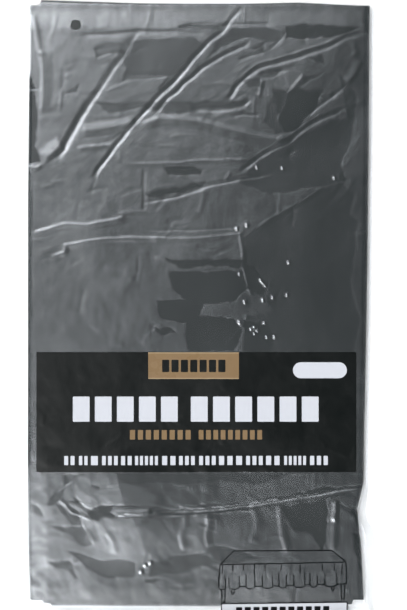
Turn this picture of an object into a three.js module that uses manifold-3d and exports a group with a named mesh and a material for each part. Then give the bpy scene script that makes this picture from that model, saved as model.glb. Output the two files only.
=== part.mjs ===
// A folded plastic table cover in its clear printed bag.
// Units are millimetres. The pack lies on its back: +Z leaves the printed face,
// +Y points to the mouth of the bag, and +X is to the right of a reader.
import * as THREE from "three";
import { mergeVertices } from "three/addons/utils/BufferGeometryUtils.js";
import Module from "manifold-3d";

const wasm = await Module();
wasm.setup();

// ---- Driving dimensions --------------------------------------------------

const INCH = 25.4;
const SHEET_WIDTH = 54 * INCH; // the cloth as it is cut
const SHEET_LENGTH = 108 * INCH;
const PLIES = 4; // the width is folded to a quarter
const PANELS = 14; // the length is rolled up flat in this many panels

const FOLD_LOSS = 2; // of the folded height, taken up by slack and turns
const CLOTH_HEIGHT = SHEET_WIDTH / PLIES - FOLD_LOSS; // along Y
const CLOTH_END_Y = -171.45;
const CLOTH_LEFT = -97.4;
const ROLL_LOSS = 1.94; // of the rolled width, taken up by the turns
const CLOTH_RIGHT = CLOTH_LEFT + SHEET_LENGTH / PANELS - ROLL_LOSS;
const PANEL_PITCH = 0.43; // a panel of four plies with the air trapped in it
const PANEL_THICK = 0.28;
const CLOTH_BASE = 0.85;

const FILM = 0.25; // stands in for a film of 0.04 mm
const FLAP_BASE = 0;
const GLUE_THICK = 0.1;
const BACK_BASE = 0.45;
const FRONT_BASE = 7.0;
const FRONT_TOP = FRONT_BASE + FILM;

const BAG_LEFT = -98.4;
const BAG_RIGHT = 100;
const FOLD_RADIUS = (FRONT_TOP - BACK_BASE) / 2; // outside of each side fold
const PANEL_LEFT = BAG_LEFT + FOLD_RADIUS;
const PANEL_RIGHT = BAG_RIGHT - FOLD_RADIUS;

const MOUTH_Y = 168.25; // the line that the flap turns about
const MOUTH_DEPTH = 2.5; // how far the turned film stands past that line
const BACK_END_Y = MOUTH_Y + 1; // the free edge of the back film
const SLOPE_START_Y = CLOTH_END_Y - 1;
const SLOPE_END_Y = SLOPE_START_Y - 11.5;
const SEAL_Y = -192;
const BAG_BOTTOM_Y = -195.5;
const MARGIN_THICK = 2 * FILM;
const SEAL_THICK = 0.6;

const FLAP_LENGTH = 38;
const FLAP_SIDE_GAP = 2.5;
const GLUE_WIDTH = 12;
const GLUE_INSET = 6; // from the free edge of the flap

const VENT_RADIUS = 3;
const VENT_X = -70.7;
const VENT_Y = 158;

const INK = 0.1; // stands in for a printed layer
const LINE = 0.6; // drawn lines of the pictogram

const BAND = { left: -92.9, right: 88.8, top: -27.8, bottom: -96 };
const ACCENT = { left: -29.4, right: 22.1, top: -28, bottom: -43.1 };
const BADGE = { left: 52.8, right: 83.4, top: -33.6, bottom: -42.7 };
const TITLE = { top: -53.1, bottom: -67.4, spans: [[-72.2, -12.5], [-5.2, 67.5]] };
const SUBTITLE = { top: -72.1, bottom: -77.5, spans: [[-39.8, -5.2], [-0.7, 35.3]] };
const SIZE_LINE = { left: -77.1, right: 73, top: -86.8, bottom: -92 };

const TABLE = { left: 10.5, right: 83.3, backLeft: 18.9, backRight: 74.3 };
const TABLE_BACK_Y = -140.5;
const TABLE_FRONT_Y = -148.1;
const HEM_Y = -162;
const HEM_WAVES = 6;
const HEM_DEPTH = 1.6;
const LEG_END_Y = -169;
const LEG_INSET = 2;
const CAPTION = { left: 12.2, right: 83.6, top: -173.2, height: 12 };

// ---- Materials -----------------------------------------------------------

const material = (color, roughness, opacity = 1) =>
  new THREE.MeshStandardMaterial({
    color,
    roughness,
    metalness: 0,
    opacity,
    transparent: opacity < 1,
  });

const clearFilm = () => material(0xe9edf0, 0.12, 0.3);
const clothFilm = () => material(0x454a4d, 0.5);
const blackInk = () => material(0x161b1b, 0.3);
const goldInk = () => material(0x7d6644, 0.35);
const whiteInk = () => material(0xdfe1e8, 0.4);
const glueLayer = () => material(0xdcdccf, 0.6, 0.6);

// ---- Small helpers -------------------------------------------------------

const pack = new THREE.Group();

const add = (name, geometry, look) => {
  const mesh = new THREE.Mesh(geometry, look);
  mesh.name = name;
  pack.add(mesh);
  return mesh;
};

const outline = (points) => new THREE.Shape(points.map(([x, y]) => new THREE.Vector2(x, y)));

const rectangle = ({ left, right, top, bottom }) =>
  outline([[left, bottom], [right, bottom], [right, top], [left, top]]);

// A flat outline in XY, thickened upwards from height z.
const plate = (shape, z, thickness) =>
  new THREE.ExtrudeGeometry(shape, { depth: thickness, bevelEnabled: false, curveSegments: 12 })
    .translate(0, 0, z);

// A section drawn in XZ, running along Y from y0 to y1.
const alongY = (shape, y0, y1) =>
  new THREE.ExtrudeGeometry(shape, { depth: y1 - y0, bevelEnabled: false })
    .rotateX(Math.PI / 2)
    .translate(0, y1, 0);

// A section drawn in YZ, running along X from x0 to x1.
const alongX = (shape, x0, x1) =>
  new THREE.ExtrudeGeometry(shape, { depth: x1 - x0, bevelEnabled: false })
    .rotateX(Math.PI / 2)
    .rotateZ(Math.PI / 2)
    .translate(x0, 0, 0);

const solid = (geometry) => {
  const bare = geometry.clone();
  bare.deleteAttribute("normal");
  bare.deleteAttribute("uv");
  const merged = mergeVertices(bare, 1e-3);
  return new wasm.Manifold(
    new wasm.Mesh({
      numProp: 3,
      vertProperties: merged.attributes.position.array,
      triVerts: new Uint32Array(merged.index.array),
    }),
  );
};

const geometryOf = (manifold) => {
  const mesh = manifold.getMesh();
  return new THREE.BufferGeometry()
    .setAttribute("position", new THREE.BufferAttribute(mesh.vertProperties, 3))
    .setIndex(new THREE.BufferAttribute(mesh.triVerts, 1));
};

// ---- The folded cloth ----------------------------------------------------

// The centre line of the flat roll, from its inner end to its free edge. Panel k
// lies above the first one when k is odd and below it when k is even, and each
// turn wraps round the turns inside it.
const rollCentreLine = () => {
  const firstPanel = CLOTH_BASE + PANEL_THICK / 2 + (PANELS / 2 - 1) * PANEL_PITCH;
  const height = (k) => firstPanel + (k % 2 ? 1 : -1) * Math.ceil(k / 2) * PANEL_PITCH;
  const outerTurn = ((PANELS - 1) * PANEL_PITCH + PANEL_THICK) / 2;
  const turnRight = CLOTH_RIGHT - outerTurn;
  const turnLeft = CLOTH_LEFT + outerTurn - PANEL_PITCH / 2;
  const points = [[turnLeft, height(0)]];
  for (let k = 0; k < PANELS - 1; k++) {
    const side = k % 2 ? -1 : 1;
    const centre = (height(k) + height(k + 1)) / 2;
    const radius = Math.abs(height(k + 1) - height(k)) / 2;
    const steps = 4 + Math.ceil(k / 3);
    for (let i = 0; i <= steps; i++) {
      const turn = (Math.PI * i) / steps;
      const x = (side > 0 ? turnRight : turnLeft) + side * radius * Math.sin(turn);
      points.push([x, centre - side * radius * Math.cos(turn)]);
    }
  }
  points.push([turnLeft - 0.3, height(PANELS - 1)]);
  return points;
};

// A closed band of even thickness on both sides of an open line.
const bandAlong = (line, thickness) => {
  const half = thickness / 2;
  const left = [];
  const right = [];
  line.forEach(([x, z], i) => {
    const [ax, az] = line[Math.max(i - 1, 0)];
    const [bx, bz] = line[Math.min(i + 1, line.length - 1)];
    const length = Math.hypot(bx - ax, bz - az);
    const nx = (-(bz - az) / length) * half;
    const nz = ((bx - ax) / length) * half;
    left.push([x + nx, z + nz]);
    right.push([x - nx, z - nz]);
  });
  return outline([...right, ...left.reverse()]);
};

const foldedCloth = () =>
  alongY(bandAlong(rollCentreLine(), PANEL_THICK), CLOTH_END_Y, CLOTH_END_Y + CLOTH_HEIGHT);

// ---- The bag -------------------------------------------------------------

const frontPanel = () => {
  const shape = rectangle({
    left: PANEL_LEFT,
    right: PANEL_RIGHT,
    top: MOUTH_Y,
    bottom: SLOPE_START_Y,
  });
  shape.holes.push(new THREE.Path().absarc(VENT_X, VENT_Y, VENT_RADIUS, 0, 2 * Math.PI, true));
  return plate(shape, FRONT_BASE, FILM);
};

const backPanel = () =>
  plate(
    rectangle({ left: PANEL_LEFT, right: PANEL_RIGHT, top: BACK_END_Y, bottom: SLOPE_END_Y }),
    BACK_BASE,
    FILM,
  );

// The film turned round a long edge, from the back panel to the front panel.
const sideFold = (side) => {
  const x = side > 0 ? PANEL_RIGHT : PANEL_LEFT;
  const z = (FRONT_TOP + BACK_BASE) / 2;
  const shape = new THREE.Shape();
  const outside = FOLD_RADIUS;
  const inside = FOLD_RADIUS - FILM;
  if (side > 0) {
    shape.absarc(x, z, outside, -Math.PI / 2, Math.PI / 2, false);
    shape.absarc(x, z, inside, Math.PI / 2, -Math.PI / 2, true);
  } else {
    shape.absarc(x, z, outside, Math.PI / 2, (3 * Math.PI) / 2, false);
    shape.absarc(x, z, inside, (3 * Math.PI) / 2, Math.PI / 2, true);
  }
  const points = shape.getPoints(4).map((p) => [p.x, p.y]);
  return alongY(outline(points), SLOPE_START_Y, MOUTH_Y);
};

// The front film coming down to the back film past the end of the cloth.
const bottomSlope = () =>
  alongX(
    outline([
      [SLOPE_END_Y, BACK_BASE + FILM],
      [SLOPE_START_Y, FRONT_BASE],
      [SLOPE_START_Y, FRONT_TOP],
      [SLOPE_END_Y, BACK_BASE + MARGIN_THICK],
    ]),
    PANEL_LEFT,
    PANEL_RIGHT,
  );

const bottomMargin = () =>
  plate(
    rectangle({ left: BAG_LEFT, right: BAG_RIGHT, top: SLOPE_END_Y, bottom: SEAL_Y }),
    BACK_BASE,
    MARGIN_THICK,
  );

const bottomSeal = () =>
  plate(
    rectangle({ left: BAG_LEFT, right: BAG_RIGHT, top: SEAL_Y, bottom: BAG_BOTTOM_Y }),
    BACK_BASE - 0.05,
    SEAL_THICK,
  );

// The film that crosses the mouth, from the front panel down to the flap.
const mouthFold = () => {
  const far = MOUTH_Y + MOUTH_DEPTH;
  const corner = 0.6;
  return alongX(
    outline([
      [MOUTH_Y, FRONT_BASE],
      [far - FILM - corner, FRONT_BASE],
      [far - FILM, FRONT_BASE - corner],
      [far - FILM, FLAP_BASE + FILM + corner],
      [far - FILM - corner, FLAP_BASE + FILM],
      [MOUTH_Y, FLAP_BASE + FILM],
      [MOUTH_Y, FLAP_BASE],
      [far - corner, FLAP_BASE],
      [far, FLAP_BASE + corner],
      [far, FRONT_TOP - corner],
      [far - corner, FRONT_TOP],
      [MOUTH_Y, FRONT_TOP],
    ]),
    PANEL_LEFT,
    PANEL_RIGHT,
  );
};

const FLAP = {
  left: PANEL_LEFT + FLAP_SIDE_GAP,
  right: PANEL_RIGHT - FLAP_SIDE_GAP,
  top: MOUTH_Y - 0.3,
  bottom: MOUTH_Y - FLAP_LENGTH,
};

const closingFlap = () => plate(rectangle(FLAP), FLAP_BASE, FILM);

const adhesiveStrip = () =>
  plate(
    rectangle({
      left: FLAP.left + GLUE_INSET,
      right: FLAP.right - GLUE_INSET,
      top: FLAP.bottom + GLUE_INSET + GLUE_WIDTH,
      bottom: FLAP.bottom + GLUE_INSET,
    }),
    FLAP_BASE + FILM,
    GLUE_THICK,
  );

// ---- The printing --------------------------------------------------------

const BAND_TOP = FRONT_TOP + INK;

const pill = ({ left, right, top, bottom }) => {
  const radius = (top - bottom) / 2;
  const y = (top + bottom) / 2;
  const shape = new THREE.Shape();
  shape.absarc(right - radius, y, radius, -Math.PI / 2, Math.PI / 2, false);
  shape.absarc(left + radius, y, radius, Math.PI / 2, (3 * Math.PI) / 2, false);
  return shape;
};

const bars = (name, { top, bottom, spans }, look) =>
  spans.forEach(([left, right], i) =>
    add(`${name}_${i + 1}`, plate(rectangle({ left, right, top, bottom }), BAND_TOP, INK), look()),
  );

// A drawn frame: an outline with the same outline taken out a line's width inside.
const drawnFrame = (points, inner) => {
  const shape = outline(points);
  shape.holes.push(new THREE.Path(inner.map(([x, y]) => new THREE.Vector2(x, y))));
  return solid(plate(shape, FRONT_TOP, INK));
};

// A table with a draped cloth, drawn in line: the top, the skirt and four legs.
const tablePictogram = () => {
  const top = drawnFrame(
    [
      [TABLE.left, TABLE_FRONT_Y],
      [TABLE.right, TABLE_FRONT_Y],
      [TABLE.backRight, TABLE_BACK_Y],
      [TABLE.backLeft, TABLE_BACK_Y],
    ],
    [
      [TABLE.left + 2 * LINE, TABLE_FRONT_Y + LINE],
      [TABLE.backLeft + LINE / 2, TABLE_BACK_Y - LINE],
      [TABLE.backRight - LINE / 2, TABLE_BACK_Y - LINE],
      [TABLE.right - 2 * LINE, TABLE_FRONT_Y + LINE],
    ],
  );
  const hem = (x0, x1, raise) => {
    const steps = 6 * HEM_WAVES;
    return Array.from({ length: steps + 1 }, (_, i) => {
      const wave = Math.cos((2 * Math.PI * HEM_WAVES * i) / steps);
      return [x0 + ((x1 - x0) * i) / steps, HEM_Y + raise + (HEM_DEPTH / 2) * wave];
    });
  };
  const skirt = drawnFrame(
    [
      ...hem(TABLE.left, TABLE.right, 0),
      [TABLE.right, TABLE_FRONT_Y + LINE / 2],
      [TABLE.left, TABLE_FRONT_Y + LINE / 2],
    ],
    [
      [TABLE.left + LINE, TABLE_FRONT_Y - LINE / 2],
      [TABLE.right - LINE, TABLE_FRONT_Y - LINE / 2],
      ...hem(TABLE.left + LINE, TABLE.right - LINE, LINE).reverse(),
    ],
  );
  const leg = (x, endY) =>
    solid(
      plate(
        rectangle({ left: x - LINE, right: x + LINE, top: HEM_Y + LINE, bottom: endY }),
        FRONT_TOP,
        INK,
      ),
    );
  return geometryOf(
    top
      .add(skirt)
      .add(leg(TABLE.left + LEG_INSET, LEG_END_Y))
      .add(leg(TABLE.right - LEG_INSET, LEG_END_Y))
      .add(leg(TABLE.backLeft, LEG_END_Y + 3))
      .add(leg(TABLE.backRight, LEG_END_Y + 3)),
  );
};

// The strip under the pictogram lies on the film that comes down past the cloth.
const captionPanel = () => {
  const run = SLOPE_START_Y - SLOPE_END_Y;
  const fall = (FRONT_TOP - BACK_BASE - MARGIN_THICK) / run;
  const lift = 0.02;
  const onSlope = (y) => FRONT_TOP + lift - (SLOPE_START_Y - y) * fall;
  const low = CAPTION.top - CAPTION.height * Math.cos(Math.atan(fall));
  return alongX(
    outline([
      [low, onSlope(low)],
      [CAPTION.top, onSlope(CAPTION.top)],
      [CAPTION.top, onSlope(CAPTION.top) + INK],
      [low, onSlope(low) + INK],
    ]),
    CAPTION.left,
    CAPTION.right,
  );
};

// ---- The pack ------------------------------------------------------------

add("folded_tablecloth", foldedCloth(), clothFilm());

add("bag_front_panel", frontPanel(), clearFilm());
add("bag_back_panel", backPanel(), clearFilm());
add("bag_left_side_fold", sideFold(-1), clearFilm());
add("bag_right_side_fold", sideFold(1), clearFilm());
add("bag_bottom_slope", bottomSlope(), clearFilm());
add("bag_bottom_margin", bottomMargin(), clearFilm());
add("bag_bottom_seal", bottomSeal(), clearFilm());
add("bag_mouth_fold", mouthFold(), clearFilm());
add("closing_flap", closingFlap(), clearFilm());
add("adhesive_strip", adhesiveStrip(), glueLayer());

add("label_band", plate(rectangle(BAND), FRONT_TOP, INK), blackInk());
add("label_accent_block", plate(rectangle(ACCENT), BAND_TOP, INK), goldInk());
add("label_blank_badge", plate(pill(BADGE), BAND_TOP, INK), whiteInk());
bars("label_title_block", TITLE, whiteInk);
bars("label_subtitle_block", SUBTITLE, goldInk);
add("label_size_line", plate(rectangle(SIZE_LINE), BAND_TOP, INK), whiteInk());
add("pictogram_table", tablePictogram(), blackInk());
add("pictogram_caption_panel", captionPanel(), whiteInk());

// The origin is the middle of the pack's footprint, on the surface it lies on.
pack.position.set(
  -(BAG_LEFT + BAG_RIGHT) / 2,
  -(BAG_BOTTOM_Y + MOUTH_Y + MOUTH_DEPTH) / 2,
  -FLAP_BASE,
);

export default pack;
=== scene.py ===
"""A folded plastic table cover in its clear printed bag, lying on a pale floor.

Shapes are worked out in millimetres on the face of the pack: x to the right,
y towards the mouth of the bag and z up from the floor. place() moves them into
the frame, in metres.
"""
import math

import bpy
import numpy as np
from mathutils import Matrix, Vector, noise


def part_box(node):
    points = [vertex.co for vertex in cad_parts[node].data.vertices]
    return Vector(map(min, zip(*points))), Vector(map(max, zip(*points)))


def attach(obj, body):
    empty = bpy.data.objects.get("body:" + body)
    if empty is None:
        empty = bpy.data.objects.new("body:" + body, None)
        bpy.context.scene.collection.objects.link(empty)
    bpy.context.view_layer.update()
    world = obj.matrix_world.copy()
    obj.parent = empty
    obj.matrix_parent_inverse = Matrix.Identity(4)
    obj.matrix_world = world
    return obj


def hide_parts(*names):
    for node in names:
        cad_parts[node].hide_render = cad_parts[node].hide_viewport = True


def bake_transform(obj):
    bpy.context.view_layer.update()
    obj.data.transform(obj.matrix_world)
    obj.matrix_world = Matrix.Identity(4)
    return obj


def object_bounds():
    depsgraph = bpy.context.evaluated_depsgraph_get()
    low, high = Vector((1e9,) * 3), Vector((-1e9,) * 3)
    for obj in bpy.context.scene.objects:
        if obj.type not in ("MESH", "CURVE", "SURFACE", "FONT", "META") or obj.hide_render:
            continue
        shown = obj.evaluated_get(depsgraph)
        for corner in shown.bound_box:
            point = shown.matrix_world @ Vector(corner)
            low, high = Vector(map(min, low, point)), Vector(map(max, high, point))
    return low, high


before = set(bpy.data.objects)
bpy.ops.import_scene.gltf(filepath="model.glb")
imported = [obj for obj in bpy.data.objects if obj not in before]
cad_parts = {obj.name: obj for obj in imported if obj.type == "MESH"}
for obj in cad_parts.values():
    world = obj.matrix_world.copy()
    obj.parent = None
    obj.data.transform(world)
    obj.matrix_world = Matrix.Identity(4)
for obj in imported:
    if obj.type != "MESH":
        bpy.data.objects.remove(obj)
cad_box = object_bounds()

MM = 0.001

# ---- Driving dimensions, in millimetres ----------------------------------

PLIES = 4
PANELS = 14
PANEL_PITCH = 0.43  # between two panels of the roll
PLY_PITCH = 0.095  # between two plies of a panel

CLOTH_LEFT = -97.4
CLOTH_RIGHT = 96.6
CLOTH_END = -171.45
CLOTH_TOP = 171.0
CLOTH_LOW = 0.9

MOUTH = 168.25  # the line that the flap turns about
SEAL = -192.0
BAG_END = -195.5
FACE = 7.2  # height of the front film over the middle of the pack
BACK = 0.5
FLAP_Z = 0.12
FLAP_END = 131.0
GRID = 0.69  # between the grid lines of the front film

MARGIN_COLUMNS = 4  # of the grid, across the clear margin at the right
VENT = (-70.7, 158.0)
VENT_RADIUS = 3.0

cloth_low, cloth_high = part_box("folded_tablecloth")
ORIGIN = Vector((cloth_low[0] - CLOTH_LEFT * MM, cloth_low[1] - CLOTH_END * MM, 0.0))


def place(points):
    """Millimetres on the pack's face to metres in the frame."""
    return np.asarray(points, float) * MM + np.array(ORIGIN)


def ease(a, b, value):
    """0 at a, 1 at b, smooth between them."""
    t = np.clip((np.asarray(value, float) - a) / (b - a), 0, 1)
    return t * t * (3 - 2 * t)


def along(value, *knots):
    """The value of a line through (position, value) knots."""
    positions, values = zip(*sorted(knots))
    return np.interp(value, positions, values)


def ripple(x, y, size, seed, octaves=2):
    """Smooth noise between about -1 and 1, with bumps of about the given size."""
    x, y = np.broadcast_arrays(x, y)
    flat = [
        noise.fractal(Vector((a / size, b / size, seed)), 1.0, 2.0, octaves)
        for a, b in zip(x.ravel(), y.ravel())
    ]
    return np.array(flat).reshape(x.shape)


# ---- The outline of the pack ---------------------------------------------


def left_edge(y):
    return along(
        y,
        (170, -97.9), (160, -97.4), (135, -97.4), (128, -98.0), (60, -98.7),
        (-90, -98.8), (-145, -98.2), (-163, -97.6), (-172, -97.3),
        (-180, -98.8), (-196, -98.9),
    )


def right_edge(y):
    return along(
        y,
        (170, 98.6), (150, 98.2), (90, 97.8), (50, 97.4), (5, 96.8), (-25, 96.3),
        (-80, 95.2), (-104.5, 94.8), (-121.5, 90.6), (-124.5, 90.4), (-131.5, 93.1),
        (-148, 94.1), (-167, 95.0), (-172, 95.4), (-180, 98.2), (-196, 98.4),
    )


def right_margin(y):
    """How far the two welded films stand past the cloth on the right."""
    return along(
        y, (170, 0.4), (0, 0.5), (-100, 0.6), (-118, 3.0), (-128, 6.6), (-150, 5.0), (-196, 1.6)
    )


def face_height(y):
    fall = ease(CLOTH_END, CLOTH_END - 12, y)
    return (FACE - 0.5 * ease(155, MOUTH, y)) * (1 - fall) + 1.0 * fall


def middle_height(y):
    fall = ease(CLOTH_END + 0.5, CLOTH_END - 13, y)
    return 3.6 * (1 - fall) + 0.75 * fall


# ---- Creases and clinging patches of the front film ----------------------

AWAY = (0.55, -0.83)  # from the light
CREASE_SHARE = 0.66  # of the heights below

# Each crease is (points, height, near flank, far flank). A positive height is a
# ridge and a negative one a valley. The near flank is on the side of the light, up
# and to the left, and the points run along the middle of the flank that is lit.
CREASES = [
    # the long straight crease under the vent hole
    ([(-32, 158), (-36, 151), (-39, 147), (-43, 139.5), (-48, 133), (-54, 124), (-59.5, 116),
      (-65, 108), (-68.6, 101), (-72.5, 94), (-76, 88), (-80, 82)], -0.32, 3.2, 1.7, 0.3),
    ([(-56, 121), (-65, 108), (-72.5, 94), (-77, 86), (-81, 80)], -0.26, 2.6, 3.4, 0.1),
    # the pair that runs down from the middle of the mouth
    ([(26, 169), (18, 160), (13, 153), (6, 148), (-2, 139.5), (-7, 133), (-12.6, 126.5),
      (-19, 120.6), (-25, 114.7), (-29, 109.5), (-33, 105.6)], -0.3, 2.2, 1.3, 0.5),
    ([(-27, 113), (-33, 105.6), (-40, 97.7), (-44, 92.6), (-48, 88), (-52, 82), (-57.5, 75),
      (-60, 70)], -0.4, 2.0, 1.4, 0.6),
    ([(-54, 79), (-58, 72), (-60.5, 66), (-61, 60)], -0.06, 0.8, 1.6),
    ([(30, 150), (26.6, 146), (21.4, 143.4), (13.6, 140), (6.4, 135.6), (1, 132), (-3.4, 128),
      (-8.6, 124), (-13, 119), (-18, 116), (-21, 111.5), (-26, 106)], -0.3, 2.0, 1.5, 0.5),
    # from the right corner of the mouth, bending down
    ([(95, 153), (83, 150), (72, 144), (62, 141), (54, 138), (42, 135), (33, 132), (29, 129),
      (25, 126), (21.4, 122.6), (19, 118), (17, 115), (11, 114)], -0.26, 2.0, 1.8, 0.5),
    ([(80, 151), (62, 145), (45, 139.5), (32, 136), (27, 132), (19, 123)], 0.11, 0.8, 1.0),
    ([(85, 111), (77, 107), (68, 103), (62, 100), (55, 94.5), (52, 91), (45.6, 88), (39, 85),
      (33, 81), (28, 77.5), (22, 73)], -0.24, 1.8, 1.6, 0.6),
    ([(70, 108), (60, 102), (50, 95), (40, 89), (30, 83)], 0.1, 0.8, 0.9),
    ([(84, 124), (78, 118.7), (71.6, 114), (66.4, 109.5), (61, 106)], -0.14, 1.6, 1.1),
    ([(59, 131), (52.7, 122.6), (48.8, 118), (48, 113), (45, 107), (43, 102)], 0.16, 1.5, 2.4),
    ([(35, 127), (34, 122), (33, 117)], 0.12, 1.2, 1.4),
    ([(90, 139), (86, 131), (81, 125)], 0.16, 4.0, 2.0),
    ([(86, 147), (88, 143), (86, 140)], 0.1, 1.6, 2.0),
    ([(67, 156), (64, 152), (58, 149)], -0.1, 1.4, 1.2),
    ([(50, 154), (47, 150), (43, 146), (40, 144)], -0.1, 1.4, 1.6),
    ([(36, 141), (28, 140), (22, 137)], -0.12, 1.4, 1.3),
    # level lines under the mouth
    ([(-69, 150.6), (-54, 151.6), (-44, 151.9), (-35, 153), (-12, 153), (3, 151.6)], -0.14, 1.6, 2.8),
    ([(-12, 154.6), (-4, 157), (12, 156.5), (20, 157), (42, 157)], -0.14, 1.6, 3.0),
    ([(-6, 109.6), (6.4, 108.5), (16, 109.5), (24.7, 111.4), (30, 116)], -0.18, 3.0, 1.3),
    ([(-60, 143), (-50, 145), (-41, 145)], -0.12, 2.4, 2.0),
    ([(-44, 129), (-30, 129), (-12, 128)], -0.08, 1.4, 1.6),
    ([(18, 105), (24, 106.5), (34, 106)], -0.12, 1.2, 1.4),
    # the light band that crosses to the right
    ([(-36, 100), (-30, 104), (-24, 106), (-13, 106), (2, 104), (13, 101), (23, 98.4),
      (32.5, 96), (43.6, 94), (52, 97)], 0.26, 2.8, 4.6),
    ([(-68, 100), (-52, 101.5), (-36, 105)], 0.3, 4.4, 4.0),
    ([(-70, 88.5), (-60, 90), (-48, 91)], 0.16, 1.8, 2.4),
    ([(-24, 90), (-14, 90)], 0.08, 0.8, 1.0),
    # two long shallow folds across the middle
    ([(-96, 41), (-89, 41.6), (-78.4, 45.6), (-64, 45), (-58, 46.5), (-48, 48), (-42, 50)],
     0.26, 1.8, 3.0),
    ([(-87, 26), (-78, 29), (-77, 33.5), (-70.5, 34.5), (-61, 36), (-54, 37), (-41, 37.7),
      (-20, 37)], 0.24, 1.6, 3.0),
    ([(-30, 37.4), (-12, 37), (2, 37.4), (21, 39.7), (27, 42)], 0.14, 1.1, 1.8),
    ([(-29, 41), (-8, 41), (2, 41.5), (22, 42.5)], -0.1, 1.0, 0.9),
    ([(31, 41), (36, 46), (45.6, 51.4), (55, 57), (62, 61), (70, 67)], 0.14, 1.3, 1.8),
    ([(-42, 79.5), (-15, 80), (0, 81.5), (30, 82)], 0.12, 1.0, 1.8),
    ([(43, 73.5), (32.5, 71), (22.7, 69.7), (13, 67.7), (5, 66), (-3.4, 63), (-12, 60),
      (-23, 58), (-34, 56)], -0.18, 1.8, 1.2),
    # short upright ones in the middle
    ([(-31, 77), (-31, 67), (-31, 52)], -0.1, 0.8, 2.6),
    ([(22, 41), (23.4, 30), (24, 23), (25.3, 17), (26.6, 10), (29, 3)], 0.18, 1.3, 1.8),
    ([(27, -6), (24.7, -10), (18, -20), (13, -25)], 0.14, 1.2, 1.6),
    # the stiff double fold below the label
    ([(-50, -118.4), (-40, -118), (-27, -117.8)], 0.5, 3.0, 1.2),
    ([(-28, -118.4), (-12, -118.2), (3, -118), (28, -115.2), (38, -113.6), (55, -111), (71.6, -108.1),
      (93, -104.7)], -0.42, 1.5, 0.9),
    ([(-26, -120), (-3.4, -119.4), (27, -116.8), (55, -112.6), (88, -107.4)], 0.2, 0.9, 1.2),
    # the long light facet that it cuts
    ([(-66, -78), (-62, -100), (-58, -118), (-50, -132), (-42, -156)], 1.3, 30, 56),
    # pleats that hang from it
    ([(-54, -130), (-50, -137), (-49, -143)], 0.1, 2.4, 2.4),
    ([(-9.6, -119), (-9.8, -126), (-12, -133.5), (-10, -141)], 0.15, 2.4, 3.6),
    ([(3.6, -119), (4, -126), (2.6, -132), (4, -139)], 0.16, 1.8, 3.6),
    ([(28.6, -116), (31, -122), (31, -128), (28, -136)], 0.14, 2.4, 4.4),
    ([(43.5, -114), (44.5, -122), (45.5, -132), (49, -143)], 0.18, 2.4, 4.0),
    ([(76, -112), (76, -118), (75, -124)], 0.42, 2.6, 1.8),
    ([(75, -120), (75, -130), (74, -141)], 0.16, 3.0, 3.0),
    ([(92, -128), (93, -146), (93, -164)], 0.12, 2.0, 2.0),
    # the rise of the lower left corner
    ([(-79, -60), (-79, -130), (-79, -215)], 1.1, 34, 75),
    ([(-91.6, -80), (-92, -130), (-91, -200)], 0.55, 10, 26),
    # down the left side
    ([(-95.4, 164), (-94, 156), (-93, 147), (-90.5, 139.5)], 0.18, 1.2, 3.0),
    ([(-92, 144), (-90.5, 139.5), (-90, 132), (-90, 121), (-91, 108)], 0.26, 1.1, 6.0),
    ([(-91.5, 83), (-86, 87.5), (-78, 92.5)], 0.42, 7.0, 2.0),
    ([(-96.5, 78.4), (-93.5, 77.2), (-90.5, 78.4)], 0.2, 1.6, 1.2),
    # lower left corner
    ([(-84, -112), (-78, -105), (-72, -101)], -0.2, 1.6, 1.6),
    ([(-80, -110), (-72, -118), (-62, -122)], 0.16, 1.2, 1.6),
    ([(-72, -110), (-66, -117), (-58, -120)], -0.12, 1.4, 1.6),
    ([(-69, -118), (-66, -128), (-60, -139)], 0.06, 1.0, 5.0),
]


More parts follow.
